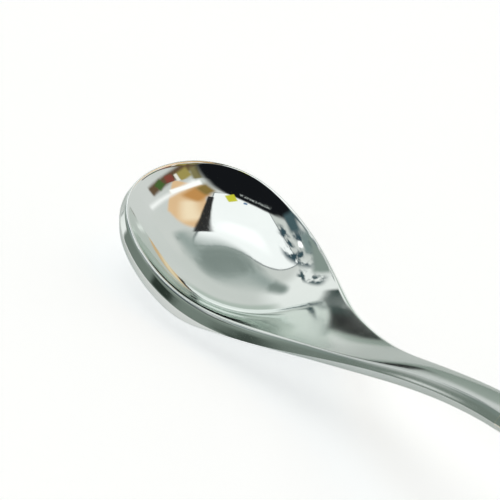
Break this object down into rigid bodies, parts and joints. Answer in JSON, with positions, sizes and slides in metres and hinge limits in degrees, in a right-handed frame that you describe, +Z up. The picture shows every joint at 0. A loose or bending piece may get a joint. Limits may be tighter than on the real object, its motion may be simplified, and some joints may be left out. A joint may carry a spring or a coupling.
{
  "type": "serving spoon",
  "caption": "Polished steel serving spoon with a broad egg-shaped bowl, a thick sloping rim, a long waisted neck and an arched hollow handle.",
  "frame": {"origin": "middle of the box's underside, on the table plane the spoon lies on", "axes": "+X along the spoon from the bowl's tip to the handle's end, +Y across it, +Z up from the table"},
  "size_m": [0.25, 0.051, 0.0331],
  "materials": {
    "polished_steel": "mirror-polished stainless steel",
    "braze": "thin brazed joint, polished flush",
    "cement": "set resin cement"
  },
  "bodies": {
    "root": {"bowl": "polished_steel", "handle_upper_shell": "polished_steel", "handle_lower_shell": "polished_steel", "handle_seam_braze": "braze", "neck_braze": "braze", "tang_cement": "cement"}
  },
  "joints": []
}
